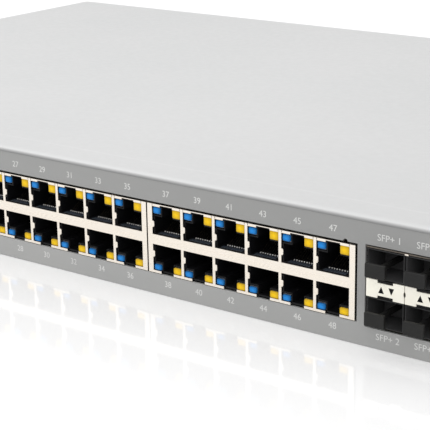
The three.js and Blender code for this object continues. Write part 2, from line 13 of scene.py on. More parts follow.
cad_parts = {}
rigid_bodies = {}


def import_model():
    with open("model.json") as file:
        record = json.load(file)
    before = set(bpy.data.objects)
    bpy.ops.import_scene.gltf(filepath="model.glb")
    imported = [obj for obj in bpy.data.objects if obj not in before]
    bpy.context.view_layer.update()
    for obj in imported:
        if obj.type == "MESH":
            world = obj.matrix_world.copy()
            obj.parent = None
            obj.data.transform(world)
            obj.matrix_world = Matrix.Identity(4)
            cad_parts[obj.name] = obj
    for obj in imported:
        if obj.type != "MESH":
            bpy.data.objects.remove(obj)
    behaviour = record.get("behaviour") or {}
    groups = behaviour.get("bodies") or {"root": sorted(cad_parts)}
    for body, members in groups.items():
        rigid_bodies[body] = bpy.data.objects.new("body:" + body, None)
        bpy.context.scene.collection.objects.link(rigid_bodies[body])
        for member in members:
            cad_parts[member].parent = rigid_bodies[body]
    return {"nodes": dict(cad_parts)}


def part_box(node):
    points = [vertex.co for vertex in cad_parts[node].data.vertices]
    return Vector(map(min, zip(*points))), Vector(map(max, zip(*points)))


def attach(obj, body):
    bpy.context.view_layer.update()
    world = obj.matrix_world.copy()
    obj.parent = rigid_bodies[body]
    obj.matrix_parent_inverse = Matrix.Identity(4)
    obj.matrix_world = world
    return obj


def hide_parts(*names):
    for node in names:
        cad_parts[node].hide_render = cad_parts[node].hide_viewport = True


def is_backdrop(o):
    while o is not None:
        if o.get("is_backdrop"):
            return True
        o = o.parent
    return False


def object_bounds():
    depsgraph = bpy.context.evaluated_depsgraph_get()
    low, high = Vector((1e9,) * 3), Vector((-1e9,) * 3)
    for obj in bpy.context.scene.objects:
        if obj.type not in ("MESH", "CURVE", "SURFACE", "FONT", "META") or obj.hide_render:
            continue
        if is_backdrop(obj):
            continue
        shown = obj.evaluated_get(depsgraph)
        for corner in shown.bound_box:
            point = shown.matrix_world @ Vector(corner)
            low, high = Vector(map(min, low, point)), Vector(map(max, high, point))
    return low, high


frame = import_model()
cad_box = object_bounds()
nodes = frame["nodes"]
MM = 0.001

# %% [markdown]
# ## The camera and the light
# Product pictures of flat devices are taken from a little above one front corner with a long lens, which
# keeps the rows of ports nearly parallel. The camera is placed first, so that every later step can be
# looked at. The scene is lit the way a white studio tent is lit: light comes from everywhere, with one soft
# panel overhead.

# %% Camera
AZIMUTH = math.radians(37.27)
ELEVATION = math.radians(17.14)
ROLL = math.radians(-0.98)
LENS = 121.5
SPOT = (0.39019, -0.52753, 0.18197)

back = Vector((
    math.sin(AZIMUTH) * math.cos(ELEVATION),
    -math.cos(AZIMUTH) * math.cos(ELEVATION),
    math.sin(ELEVATION),
))
level = Vector((math.cos(AZIMUTH), math.sin(AZIMUTH), 0))
upright = back.cross(level)
right = math.cos(ROLL) * level + math.sin(ROLL) * upright
up = math.cos(ROLL) * upright - math.sin(ROLL) * level
turn = Matrix((right, up, back)).transposed().to_4x4()

camera_data = bpy.data.cameras.new("camera")
camera_data.lens = LENS
camera_data.sensor_width = 36
camera_data.clip_start = 0.01
camera = bpy.data.objects.new("camera", camera_data)
camera.matrix_world = Matrix.Translation(SPOT) @ turn
bpy.context.scene.collection.objects.link(camera)
bpy.context.scene.camera = camera
print("camera looks along", [round(v, 3) for v in -back])

# %% [markdown]
# ### Light
# A soft panel overhead shapes the top edges, and a weaker one in front keeps the printed side readable. The
# Standard view is chosen over a filmic one, so that a white table stays white.

# %% Light
scene = bpy.context.scene
scene.view_settings.view_transform = "Standard"
world = bpy.data.worlds.new("tent")
world.use_nodes = True
world.node_tree.nodes["Background"].inputs["Color"].default_value = (1, 1, 1, 1)
world.node_tree.nodes["Background"].inputs["Strength"].default_value = 1.0
scene.world = world


def soft_panel(name, spot, aim, width, power):
    """A square area light at spot, turned to face aim."""
    data = bpy.data.lights.new(name, "AREA")
    data.shape = "SQUARE"
    data.size = width
    data.energy = power
    panel = bpy.data.objects.new(name, data)
    panel.location = spot
    panel.rotation_euler = (Vector(aim) - Vector(spot)).to_track_quat("-Z", "Y").to_euler()
    scene.collection.objects.link(panel)


soft_panel("overhead", spot=(-0.5, -0.3, 1.6), aim=(0, 0, 0), width=1.6, power=7)
soft_panel("front_fill", spot=(0.9, -1.5, 1.2), aim=(0.1, -0.1, 0.02), width=0.9, power=6)

# %% [markdown]
# ## Modelling helpers
# Most of the work is the same few moves made by hand: select some faces or edges by where they are, run an
# operator on them, and finish with a modifier. These helpers hold those moves. Selecting is done in object
# mode, because that is where a script can read a mesh, and the operator then runs in edit mode.

# %% Selecting
def deselect():
    """Leaves no object selected."""
    for other in bpy.context.view_layer.objects:
        other.select_set(False)


def take(piece):
    """Makes piece the only selected object, and the active one."""
    deselect()
    piece.select_set(True)
    bpy.context.view_layer.objects.active = piece


def done():
    """Leaves edit mode."""
    bpy.ops.object.mode_set(mode="OBJECT")


def choose(piece, kind, test):
    """Selects the faces or edges of piece that pass the test, and stays in edit mode."""
    take(piece)
    bpy.ops.object.mode_set(mode="EDIT")
    bpy.ops.mesh.select_mode(type=kind)
    bpy.ops.mesh.select_all(action="DESELECT")
    done()
    mesh = piece.data
    if kind == "FACE":
        for face in mesh.polygons:
            face.select = test(face.center, face.normal)
    else:
        for edge in mesh.edges:
            ends = [mesh.vertices[i].co for i in edge.vertices]
            edge.select = test(*ends)
    bpy.ops.object.mode_set(mode="EDIT")


print("selecting: deselect, take, done, choose")

# %% [markdown]
# ### Starting a piece
# A piece starts as a box, as a round bar, or as a copy of an engineering part. Its place and size are put
# straight into its mesh, so that every finished piece stands at the origin and lines up with the parts it
# covers.

# %% Starting a piece
WELD = 0.002 * MM
FLAT = math.radians(1)


def settle(name):
    """Names the object just added, and moves its place and size into its mesh."""
    piece = bpy.context.object
    piece.name = name
    bpy.context.view_layer.update()
    piece.data.transform(piece.matrix_world)
    piece.matrix_world = Matrix.Identity(4)
    return piece


def start_box(name, low, high):
    """A box from its low corner to its high corner, in metres."""
    low, high = Vector(low), Vector(high)
    deselect()
    bpy.ops.mesh.primitive_cube_add(size=1, location=(low + high) / 2, scale=high - low)
    return settle(name)


def start_slab(name, x, width, y, z):
    """A box by its middle and width along X, and by its two ends along Y and along Z."""
    return start_box(name, (x - width / 2, y[0], z[0]), (x + width / 2, y[1], z[1]))


def start_bar(name, middle, radius, length, sides=32):
    """A round bar along Y, by its middle."""
    deselect()
    bpy.ops.mesh.primitive_cylinder_add(
        vertices=sides, radius=radius, depth=length, location=middle, rotation=(math.pi / 2, 0, 0))
    return settle(name)


def start_from_node(node, name, whole=True):
    """A copy of a node's mesh, its triangles merged back into whole faces unless whole is False."""
    piece = bpy.data.objects.new(name, nodes[node].data.copy())
    scene.collection.objects.link(piece)
    piece.data.materials.clear()
    take(piece)
    bpy.ops.object.mode_set(mode="EDIT")
    bpy.ops.mesh.select_all(action="SELECT")
    bpy.ops.mesh.remove_doubles(threshold=WELD)
    if whole:
        bpy.ops.mesh.dissolve_limited(angle_limit=FLAT)
    done()
    return piece


def copy_to(piece, name, move):
    """A copy with its own mesh, moved by a matrix or an offset."""
    if not isinstance(move, Matrix):
        move = Matrix.Translation(move)
    other = bpy.data.objects.new(name, piece.data.copy())
    other.data.transform(move)
    scene.collection.objects.link(other)
    return other


print("starts: start_box, start_slab, start_bar, start_from_node, copy_to")

# %% [markdown]
# ### Joining, carving and finishing
# A real edge is never perfectly sharp, and it is the thin light along an edge that makes a thing look made.
# A bevel modifier gives that edge to a whole piece at once, and weighted normals keep the flat faces flat.

# %% Joining, carving and finishing
def apply_modifier(piece, kind, **settings):
    """Adds a modifier with these settings and applies it at once."""
    modifier = piece.modifiers.new(kind.lower(), kind)
    for setting, value in settings.items():
        setattr(modifier, setting, value)
    take(piece)
    bpy.ops.object.modifier_apply(modifier=modifier.name)


def combine(piece, others, operation="UNION"):
    """Adds the others to piece, or takes them away, and deletes them."""
    for other in others:
        apply_modifier(piece, "BOOLEAN", object=other, operation=operation, solver="EXACT")
        bpy.data.objects.remove(other)
    return piece


def gather(name, parts):
    """Makes one object of several loose parts."""
    take(parts[0])
    for part in parts:
        part.select_set(True)
    bpy.context.view_layer.objects.active = parts[0]
    bpy.ops.object.join()
    parts[0].name = name
    return parts[0]


def soften(piece, radius, segments=2, sharp=30):
    """Rounds every sharp edge, then shades smooth without bending the flat faces' light."""
    apply_modifier(
        piece, "BEVEL", width=radius, segments=segments, limit_method="ANGLE",
        angle_limit=math.radians(sharp), loop_slide=False)
    return smooth(piece)


def smooth(piece):
    """Shades smooth across gentle angles, and keeps the large faces flat."""
    take(piece)
    bpy.ops.object.shade_smooth_by_angle(angle=math.radians(40))
    apply_modifier(piece, "WEIGHTED_NORMAL", keep_sharp=True, weight=80)
    return piece


def finish_as(piece, material, slot, *replaced, body="chassis"):
    """Paints a piece, fixes it to a body, and hides the nodes it stands for."""
    piece.data.materials.clear()
    piece.data.materials.append(material)
    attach(piece, body)
    if replaced:
        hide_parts(*replaced)


print("moves: apply_modifier, combine, gather, soften, smooth, finish_as")

# %% [markdown]
# ## Finishes
# A finish is a small tree of nodes round one shader. The plain facts, such as the metal or the gloss, are
# set on the shader itself. What varies over the surface, such as the grain of a powder coat, comes from
# noise that reads the piece's own coordinates in metres, so a scale of 1000 makes features of about a
# millimetre.

# %% Node helpers
def new_finish(name, color, roughness, metallic=0.0, **sockets):
    """A new material, its tree, its shader and the piece's own coordinates."""
    material = bpy.data.materials.new(name)
    material.use_nodes = True
    tree = material.node_tree
    shader = tree.nodes["Principled BSDF"]
    shader.inputs["Base Color"].default_value = (*color, 1)
    shader.inputs["Roughness"].default_value = roughness
    shader.inputs["Metallic"].default_value = metallic
    for socket, value in sockets.items():
        shader.inputs[socket.replace("_", " ")].default_value = value
    coords = tree.nodes.new("ShaderNodeTexCoord").outputs["Object"]
    return material, tree, shader, coords


def noise(tree, coords, scale, detail=3.0, stretch=(1, 1, 1)):
    """Soft noise from 0 to 1. A small stretch along an axis draws its features out along it."""
    mapping = tree.nodes.new("ShaderNodeMapping")
    mapping.inputs["Scale"].default_value = stretch
    texture = tree.nodes.new("ShaderNodeTexNoise")
    texture.inputs["Scale"].default_value = scale
    texture.inputs["Detail"].default_value = detail
    tree.links.new(coords, mapping.inputs["Vector"])
    tree.links.new(mapping.outputs["Vector"], texture.inputs["Vector"])
    return texture.outputs["Fac"]


def cells(tree, coords, scale):
    """A mosaic of flat patches, each with a value of its own."""
    texture = tree.nodes.new("ShaderNodeTexVoronoi")
    texture.inputs["Scale"].default_value = scale
    tree.links.new(coords, texture.inputs["Vector"])
    return texture.outputs["Color"]


print("sources: noise, cells")

# %% [markdown]
# ### What a pattern changes
# A pattern is only a number for each point. It can choose a colour between two, make the surface duller or
# glossier, or raise it a little.

# %% Surface helpers
def tint(tree, shader, value, low, high, start=0.3, end=0.7):
    """Colours the shader between two colours as value goes from start to end."""
    ramp = tree.nodes.new("ShaderNodeValToRGB")
    ramp.color_ramp.elements[0].position = start
    ramp.color_ramp.elements[0].color = (*low, 1)
    ramp.color_ramp.elements[1].position = end
    ramp.color_ramp.elements[1].color = (*high, 1)
    tree.links.new(value, ramp.inputs["Fac"])
    tree.links.new(ramp.outputs["Color"], shader.inputs["Base Color"])
    return ramp.outputs["Color"]


def spread_out(tree, value, start, end, low, high):
    """A number that goes from low to high as value goes from start to end."""
    spread = tree.nodes.new("ShaderNodeMapRange")
    for socket, number in (("From Min", start), ("From Max", end), ("To Min", low), ("To Max", high)):
        spread.inputs[socket].default_value = number
    tree.links.new(value, spread.inputs["Value"])
    return spread.outputs["Result"]


def vary_gloss(tree, shader, value, low, high):
    """Makes the roughness wander between low and high with value."""
    tree.links.new(spread_out(tree, value, 0.3, 0.7, low, high), shader.inputs["Roughness"])


def relief(tree, shader, value, distance, strength=1.0):
    """Raises the surface a little, in metres, where value is high."""
    bump = tree.nodes.new("ShaderNodeBump")
    bump.inputs["Distance"].default_value = distance
    bump.inputs["Strength"].default_value = strength
    tree.links.new(value, bump.inputs["Height"])
    tree.links.new(bump.outputs["Normal"], shader.inputs["Normal"])


print("changes: tint, vary_gloss, relief")

# %% [markdown]
# ### Powder coats
# The cover and the front are sheet steel with a baked powder coat. Close to, such a coat is a fine orange
# peel with features of about half a millimetre, and from further off its tone wanders very slightly.
# Painted light and shade are laid over both coats as gains on their colour. The front is painted lighter
# towards its lower edge and its left end, and painted darker in the shadow just under the cover. The cover
# is painted darker towards its right end and its back. Along its front edge a soft dark line of painted
# shade runs along the cut, a painted highlight lies over the fold, and a faint painted highlight lies 16 mm
# behind it.

# %% Powder coats
def powder_coat(name, dark, light, gloss):
    """A matt baked coat whose tone wanders slowly, with a fine orange peel."""
    material, tree, shader, coords = new_finish(name, light, gloss, IOR=1.45)
    tone_and_light_drift = noise(tree, coords, 14, 4)
    tint(tree, shader, tone_and_light_drift, dark, light)
    vary_gloss(tree, shader, noise(tree, coords, 400, 2), gloss - 0.04, gloss + 0.06)
    relief(tree, shader, noise(tree, coords, 1900, 2), 0.02 * MM, 0.35)
    return material


def along(tree, axis, start, end, low, high):
    """A number that goes from low to high as the place along an axis goes from start to end."""
    coords = tree.nodes.new("ShaderNodeTexCoord").outputs["Object"]
    split = tree.nodes.new("ShaderNodeSeparateXYZ")
    tree.links.new(coords, split.inputs["Vector"])
    return spread_out(tree, split.outputs[axis], start, end, low, high)


def scale_color(material, factor):
    """Multiplies a coat's colour by a factor."""
    tree = material.node_tree
    base = tree.nodes["Principled BSDF"].inputs["Base Color"]
    scale = tree.nodes.new("ShaderNodeVectorMath")
    scale.operation = "SCALE"
    tree.links.new(base.links[0].from_socket, scale.inputs[0])
    tree.links.new(factor, scale.inputs["Scale"])
    tree.links.new(scale.outputs["Vector"], base)


def lift(material, axis, start, end, gain):
    """Changes a coat's colour by up to gain as the place along an axis goes from start to end."""
    scale_color(material, along(material.node_tree, axis, start, end, 1.0, gain))


def streaks(material, axis, start, end, stops):
    """Changes a coat's colour by a row of stops. A stop is how far along the way it is, and a gain."""
    tree = material.node_tree
    ramp = tree.nodes.new("ShaderNodeValToRGB")
    tree.links.new(along(tree, axis, start, end, 0.0, 1.0), ramp.inputs["Fac"])
    marks = ramp.color_ramp.elements
    marks.remove(marks[1])
    for i, (place, gain) in enumerate(stops):
        mark = marks.new(place) if i else marks[0]
        mark.position = place
        mark.color = (gain, gain, gain, 1)
    scale_color(material, ramp.outputs["Color"])


# How painted light and shade fall over a coat: the axis, where the change starts and ends in metres, and
# the gain at its end.
PANEL_PAINTED_LIGHT = (("Z", 0.015, 0.007, 1.2), ("X", 0.17, -0.02, 1.14), ("Z", 0.0415, 0.0426, 0.95))
COVER_PAINTED_LIGHT = (("X", 0.03, 0.2, 0.94), ("Y", -0.06, 0.12, 0.955))
# Painted light along the cover's first 20 mm: each stop is how far along that way it is, and its gain. The
# first stops are painted shade at the cut, then a painted highlight over the fold, and a faint painted
# highlight at 16 mm.
FOLD_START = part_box("top_cover")[0].y
FOLD_REACH = 20 * MM
COVER_FOLD_PAINTED_LIGHT = ((0.0, 0.44), (0.012, 0.66), (0.04, 0.97), (0.06, 1.06), (0.1, 1.11), (0.16, 1.06),
              (0.24, 1.0), (0.75, 1.0), (0.8, 1.05), (0.85, 1.0))
cover_paint = powder_coat("cover_paint", (0.55, 0.555, 0.555), (0.57, 0.57, 0.57), 0.42)
panel_paint = powder_coat("panel_paint", (0.258, 0.26, 0.258), (0.275, 0.275, 0.27), 0.4)
for paint, painted_lights in ((panel_paint, PANEL_PAINTED_LIGHT), (cover_paint, COVER_PAINTED_LIGHT)):
    for tone_and_light_drift in painted_lights:
        lift(paint, *tone_and_light_drift)
streaks(cover_paint, "Y", FOLD_START, FOLD_START + FOLD_REACH, COVER_FOLD_PAINTED_LIGHT)
print("coats:", cover_paint.name, panel_paint.name)

# %% [markdown]
# ### Metals
# The chassis is galvanised, and zinc freezes into large flat crystals. The jack shields are tin-plated
# strip, bright and slightly warm, with fine rolling lines. Screws are nickel-plated, and the contacts are
# gilded. The contacts' gold is darkened, as painted shade inside the ports, and a near-white copy of it is
# a painted highlight on their bends. The cage's steel is darkened as painted shade too, and a paler copy of
# it is a painted highlight on its front lip.

# %% Metals
def galvanised(name):
    """Zinc-coated steel with its large flat crystals."""
    material, tree, shader, coords = new_finish(name, (0.62, 0.63, 0.65), 0.35, 1.0)
    crystals = cells(tree, coords, 160)
    tint(tree, shader, crystals, (0.52, 0.53, 0.55), (0.7, 0.71, 0.73), 0.1, 0.9)
    vary_gloss(tree, shader, noise(tree, coords, 90, 3), 0.28, 0.45)
    relief(tree, shader, crystals, 0.01 * MM, 0.2)
    return material


def rolled_metal(name, dark, light, roughness, stretch, scale=1500):
    """Metal with fine lines, drawn out along the axis whose stretch is small."""
    material, tree, shader, coords = new_finish(name, light, roughness, 1.0)
    lines = noise(tree, coords, scale, 2, stretch)
    tint(tree, shader, lines, dark, light)
    vary_gloss(tree, shader, lines, roughness - 0.05, roughness + 0.08)
    relief(tree, shader, lines, 0.01 * MM, 0.15)
    return material


bare_steel = galvanised("bare_steel")
shield_metal = rolled_metal("shield_metal", (0.83, 0.76, 0.67), (0.87, 0.81, 0.73), 0.28, (0.05, 1, 1))
screw_steel = rolled_metal("screw_steel", (0.52, 0.53, 0.55), (0.7, 0.71, 0.72), 0.25, (1, 1, 1), 900)
# The contacts' gold, darkened as painted shade inside the ports.
contact_gold = rolled_metal("contact_gold", (0.1, 0.085, 0.06), (0.16, 0.14, 0.1), 0.4, (1, 0.1, 1))
# A near-white copy of the contact metal, a painted highlight on the contacts' bends.
contact_tin = rolled_metal("contact_tin", (0.9, 0.88, 0.84), (1.0, 0.98, 0.95), 0.45, (1, 0.1, 1))
# The cage's steel, darkened as painted shade in its deep cavities.
cage_metal = rolled_metal("cage_metal", (0.02, 0.018, 0.016), (0.035, 0.03, 0.027), 0.45, (1, 0.1, 1))
# A paler copy of the cage's steel, a painted highlight on its front lip.
lip_metal = rolled_metal("lip_metal", (0.12, 0.105, 0.09), (0.2, 0.175, 0.15), 0.45, (0.1, 1, 1))
pin_metal = rolled_metal("pin_metal", (0.68, 0.66, 0.6), (0.85, 0.83, 0.78), 0.25, (1, 0.1, 1))
sink_metal = rolled_metal("sink_metal", (0.42, 0.43, 0.45), (0.5, 0.51, 0.53), 0.4, (1, 0.03, 1))
print("metals:", [m.name for m in bpy.data.materials if m.name.endswith(("steel", "metal", "gold"))])

# %% [markdown]
# ### Plastics
# Moulded plastic takes the fine spark-eroded grain of its mould. The jack housings are black and the dust
# plugs a soft dark grey. The housings' combs and the plugs' cups get lighter copies of these plastics, as
# painted light where light reaches into the mouths. The light bar is a warm, faintly milky white. A lit
# window is brightest at its middle, where the lamp is straight behind it, and darker at its rim.

# %% Plastics
def moulded(name, dark, light, roughness, grain=2600, depth=0.02 * MM, **sockets):
    """Moulded plastic with the fine grain of its mould."""
    material, tree, shader, coords = new_finish(name, light, roughness, **sockets)
    tint(tree, shader, noise(tree, coords, 120, 3), dark, light)
    vary_gloss(tree, shader, noise(tree, coords, 500, 2), roughness - 0.06, roughness + 0.08)
    relief(tree, shader, noise(tree, coords, grain, 2), depth, 0.4)
    return material


def lit_window(name, rim, middle, glow):
    """A coloured window that glows. An attribute says how far each point is from its middle."""
    material, tree, shader, coords = new_finish(
        name, middle, 0.4, Emission_Strength=glow, Specular_IOR_Level=0.2)
    attribute = tree.nodes.new("ShaderNodeAttribute")
    attribute.attribute_name = "from_middle"
    color = tint(tree, shader, attribute.outputs["Fac"], middle, rim, 0.25, 1.0)
    tree.links.new(color, shader.inputs["Emission Color"])
    relief(tree, shader, noise(tree, coords, 1500, 2), 0.02 * MM, 0.3)
    return material


jack_plastic = moulded(
    "jack_plastic", (0.003, 0.003, 0.004), (0.006, 0.006, 0.007), 0.5, Specular_IOR_Level=0.2)
# A lighter, bluish copy of the black housing plastic, painted light at the port mouths.
comb_plastic = moulded("comb_plastic", (0.035, 0.045, 0.06), (0.05, 0.06, 0.08), 0.4)
plug_plastic = moulded(
    "plug_plastic", (0.009, 0.009, 0.009), (0.014, 0.014, 0.013), 0.45, Specular_IOR_Level=0.25)
white_plastic = moulded("white_plastic", (0.92, 0.89, 0.78), (0.96, 0.93, 0.83), 0.45)
fan_plastic = moulded("fan_plastic", (0.008, 0.008, 0.01), (0.016, 0.016, 0.018), 0.5)
chip_epoxy = moulded("chip_epoxy", (0.012, 0.012, 0.013), (0.022, 0.022, 0.024), 0.6)
clear_pipe = moulded("clear_pipe", (0.06, 0.07, 0.08), (0.1, 0.11, 0.13), 0.3, Transmission_Weight=0.4)
arrow_ink = moulded(
    "arrow_ink", (0.004, 0.004, 0.005), (0.007, 0.007, 0.009), 0.6, Specular_IOR_Level=0.1)
# A lighter copy of the plug plastic, painted light on the cups' inside walls and floors.
cup_plastic = moulded(
    "cup_plastic", (0.04, 0.04, 0.041), (0.055, 0.055, 0.056), 0.6, Specular_IOR_Level=0.1)
print_ink = moulded("print_ink", (0.58, 0.58, 0.57), (0.66, 0.66, 0.65), 0.6)
blue_light = lit_window("blue_light", (0.006, 0.09, 0.26), (0.008, 0.18, 0.52), 0.3)
yellow_light = lit_window("yellow_light", (0.4, 0.25, 0.01), (0.67, 0.42, 0.002), 0.3)
print("plastics:", jack_plastic.name, plug_plastic.name, white_plastic.name)

# %% [markdown]
# ### Inside the case
# The boards are glass-fibre sheets under green lacquer, and the copper tracks show through it as slightly
# lighter lines. The other inner parts get plain working finishes: ferrite, shrunk sleeve and wire.

# %% Inner finishes
def circuit_board(name):
    """Green lacquer over a grid of copper tracks."""
    material, tree, shader, coords = new_finish(name, (0.01, 0.1, 0.035), 0.35)
    tracks = tree.nodes.new("ShaderNodeTexBrick")
    tracks.inputs["Scale"].default_value = 220
    tracks.inputs["Mortar Size"].default_value = 0.06
    tracks.inputs["Color1"].default_value = (0.008, 0.08, 0.03, 1)
    tracks.inputs["Color2"].default_value = (0.01, 0.1, 0.038, 1)
    tracks.inputs["Mortar"].default_value = (0.03, 0.2, 0.07, 1)
    tree.links.new(coords, tracks.inputs["Vector"])
    tree.links.new(tracks.outputs["Color"], shader.inputs["Base Color"])
    relief(tree, shader, tracks.outputs["Fac"], 0.03 * MM, 0.3)
    return material


board_green = circuit_board("board_green")
ferrite = moulded("ferrite", (0.04, 0.035, 0.03), (0.09, 0.08, 0.07), 0.7, 900)
sleeve = moulded("sleeve", (0.012, 0.014, 0.02), (0.022, 0.024, 0.032), 0.3)
wire_rubber = moulded("wire_rubber", (0.015, 0.015, 0.016), (0.03, 0.03, 0.032), 0.6, 1400)
print("inner finishes:", board_green.name, ferrite.name, sleeve.name, wire_rubber.name)

# %% [markdown]
# ## Inner parts
# These nodes are seen only through the vents, or behind the lit windows as the light pipes are, so their
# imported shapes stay, with their own finishes.

# %% Paint the inner nodes
INNER = {
    "main_board": board_green, "power_supply_board": board_green, "switch_chip": chip_epoxy,
    "switch_heat_sink": sink_metal, "power_transformer": ferrite, "bulk_capacitor": sleeve,
    "dc_harness": wire_rubber,
}
for i in range(1, 5):
    INNER[f"phy_chip_{i}"] = chip_epoxy
    INNER[f"light_pipes_{i}"] = clear_pipe
for node, material in INNER.items():
    nodes[node].data.materials.clear()
    nodes[node].data.materials.append(material)
print("painted", len(INNER), "inner nodes")

# %% [markdown]
# ## The cover
# The cover is one sheet bent down at both sides. A bent sheet has a round corner about as wide as the sheet
# is thick, so the two long top corners get a bigger radius than the cut edges, which are only deburred.

# %% Cover
NEAR = 0.1 * MM
BEND_R = 0.9 * MM
cover = start_from_node("top_cover", "cover_sheet")
low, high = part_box("top_cover")
TOP = high.z
FRONT = low.y


def on_long_corner(a, b):
    """Whether an edge runs along the top's left or right side."""
    at_top = min(a.z, b.z) > TOP - NEAR
    at_side = all(abs(abs(end.x) - high.x) < NEAR for end in (a, b))
    return at_top and at_side


choose(cover, "EDGE", on_long_corner)
bpy.ops.mesh.bevel(offset=BEND_R, segments=5, affect="EDGES")
done()
soften(cover, 0.14 * MM)
finish_as(cover, cover_paint, "cover_paint", "top_cover")
print("cover faces:", len(cover.data.polygons))

# %% [markdown]
# ## Sheets with punched holes
# The front, the rear, the base and the ears are flat blanks with holes punched in them. They only need
# their edges broken. A blank is modelled from its node, so that every hole stays where its screw or lens
# is. The front's top edge is drawn up a little, to close the gap that the engineering model keeps under the
# cover.

# %% Front
PANEL_RISE = 0.27 * MM
front = start_from_node("front_panel", "front_sheet")
front_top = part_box("front_panel")[1].z
choose(front, "FACE", lambda center, normal: normal.z > 0.9 and center.z > front_top - NEAR)
bpy.ops.transform.translate(value=(0, 0, PANEL_RISE))
done()
soften(front, 0.15 * MM)
finish_as(front, panel_paint, "panel_paint", "front_panel")
print("front faces:", len(front.data.polygons))

# %% [markdown]
# ### Rear, base and ears
# These are the same kind of sheet, so one loop makes them all. The rear is left with its punched edges as
# they are, because its many hexagons leave no clean faces for a bevel to run along.

# %% Rear, base and ears
# Each sheet's finish, slot and edge radius in millimetres.
SHEETS = {
    "rear_panel": (cover_paint, "cover_paint", 0),
    "base_pan": (bare_steel, "bare_steel", 0.15),
    "rack_ear_left": (panel_paint, "panel_paint", 0.35),
    "rack_ear_right": (panel_paint, "panel_paint", 0.35),
}
for node, (material, slot, radius) in SHEETS.items():
    sheet = start_from_node(node, f"{node}_sheet", whole=radius > 0)
    if radius:
        soften(sheet, radius * MM)
    finish_as(sheet, material, slot, node)
print("sheets:", len(SHEETS))

# %% [markdown]
# ## Screws
# A pan-head screw is a low dome with a cross driven into it. One is turned from a cylinder, its top edge is
# rounded, and a cross-shaped tool is taken away from it. The copies are then set down wherever the frame
# has a screw, each facing the way its node faces.

# %% One screw
# Shares of the head's height or radius: its rounding, the cross's arms and half width, and its floor.
DOME = 0.55
ARM = 0.56
BLADE = 0.12
CROSS_FLOOR = 0.45


def model_screw(name, head_r, head_h, shank_r, shank_l):
    """A screw along Y, with its head's underside at 0 and its head towards +Y. The sizes are in metres."""
    head = start_bar(name, (0, head_h / 2, 0), head_r, head_h, 40)
    choose(head, "EDGE", lambda a, b: a.y > head_h * 0.99 and b.y > head_h * 0.99)
    bpy.ops.mesh.bevel(offset=head_h * DOME, segments=4, affect="EDGES")
    done()
    choose(head, "FACE", lambda center, normal: normal.y < -0.9)
    bpy.ops.mesh.inset(thickness=head_r - shank_r, depth=0)
    bpy.ops.mesh.extrude_region_move(TRANSFORM_OT_translate={"value": (0, -shank_l, 0)})
    done()
    arm = head_r * ARM
    blade = head_r * BLADE
    ends = (head_h * CROSS_FLOOR, head_h * 1.5)
    cross = start_slab("cross", 0, 2 * arm, ends, (-blade, blade))
    other = start_slab("other", 0, 2 * blade, ends, (-arm, arm))
    combine(head, [combine(cross, [other])], "DIFFERENCE")
    return soften(head, 0.05 * MM, 2, 35)


EAR_SIZES = {"head_r": 3.5 * MM, "head_h": 1.8 * MM, "shank_r": 1.7 * MM, "shank_l": 8 * MM}
COVER_SIZES = {"head_r": 2.7 * MM, "head_h": 1.2 * MM, "shank_r": 1.3 * MM, "shank_l": 5 * MM}
ear_screw = model_screw("ear_screw_model", **EAR_SIZES)
cover_screw = model_screw("cover_screw_model", **COVER_SIZES)
print("screw faces:", len(ear_screw.data.polygons), len(cover_screw.data.polygons))

# %% [markdown]
# ### Placing the screws
# Each screw node says where a screw is and how big it is. A copy of the model is turned to face the same
# way and moved there, so the screws follow the engineering model and are never placed by eye.

# %% Set the screws down
def set_screw(node, model, facing, sizes):
    """Puts a copy of the model on a screw node. facing is the way its head points."""
    low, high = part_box(node)
    middle = (low + high) / 2
    place = facing * ((sizes["shank_l"] - sizes["head_h"]) / 2)
    turn = Vector((0, 1, 0)).rotation_difference(facing).to_matrix().to_4x4()
    screw = copy_to(model, f"{node}_turned", Matrix.Translation(middle + place) @ turn)
    finish_as(screw, screw_steel, "screw_steel", node)


OUTWARD = {"left": Vector((-1, 0, 0)), "right": Vector((1, 0, 0))}
BACKWARD = Vector((0, 1, 0))
for side, facing in OUTWARD.items():
    for i in range(1, 5):
        set_screw(f"ear_screw_{side}_{i}", ear_screw, facing, EAR_SIZES)
    for i in range(1, 3):
        set_screw(f"cover_screw_{side}_{i}", cover_screw, facing, COVER_SIZES)
for i in range(1, 4):
    set_screw(f"rear_screw_{i}", cover_screw, BACKWARD, COVER_SIZES)
set_screw("ground_screw", ear_screw, BACKWARD, EAR_SIZES)
for model in (ear_screw, cover_screw):
    bpy.data.objects.remove(model)
print("screws:", len([n for n in nodes if "screw" in n]))

# %% [markdown]
# ## The copper ports
# A ganged jack is a black moulding inside a folded metal shield. The shield's face is cut so that a narrow
# tongue is left beside each opening and bent inwards, to touch the plug's own shield. Two short slits
# beside each web show where the face was folded from the top. One block is finished and copied to the other
# three.

# %% Port places
PITCH = 13.97 * MM
COLUMNS = 6
BLOCKS = 4
OPENING = 12.85 * MM
block_middles = [sum(c.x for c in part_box(f"jack_housing_{i}")) / 2 for i in range(1, BLOCKS + 1)]
columns = [(i - (COLUMNS - 1) / 2) * PITCH for i in range(COLUMNS)]
shield_low, shield_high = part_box("jack_shield_1")
FACE = shield_low.y
first = block_middles[0]


def finish_blocks(piece, name, material, slot, node=None):
    """Copies a piece of the first block to the others, and finishes them all, in place of node if given."""
    row = [piece]
    for i in range(2, BLOCKS + 1):
        row.append(copy_to(piece, f"{name}_{i}", (block_middles[i - 1] - first, 0, 0)))
    for i, each in enumerate(row, 1):
        replaced = [f"{node}_{i}"] if node else []
        finish_as(each, material, slot, *replaced)


print("block middles (mm):", [round(x / MM, 2) for x in block_middles])

# %% [markdown]
# ### Shields
# The tongues bulge towards the plug, so each starts as a flat plate whose free side is pulled out and
# narrowed. The slits are thin boxes taken away from the shield's top. A boolean suits them, as they are cut
# in reality too.

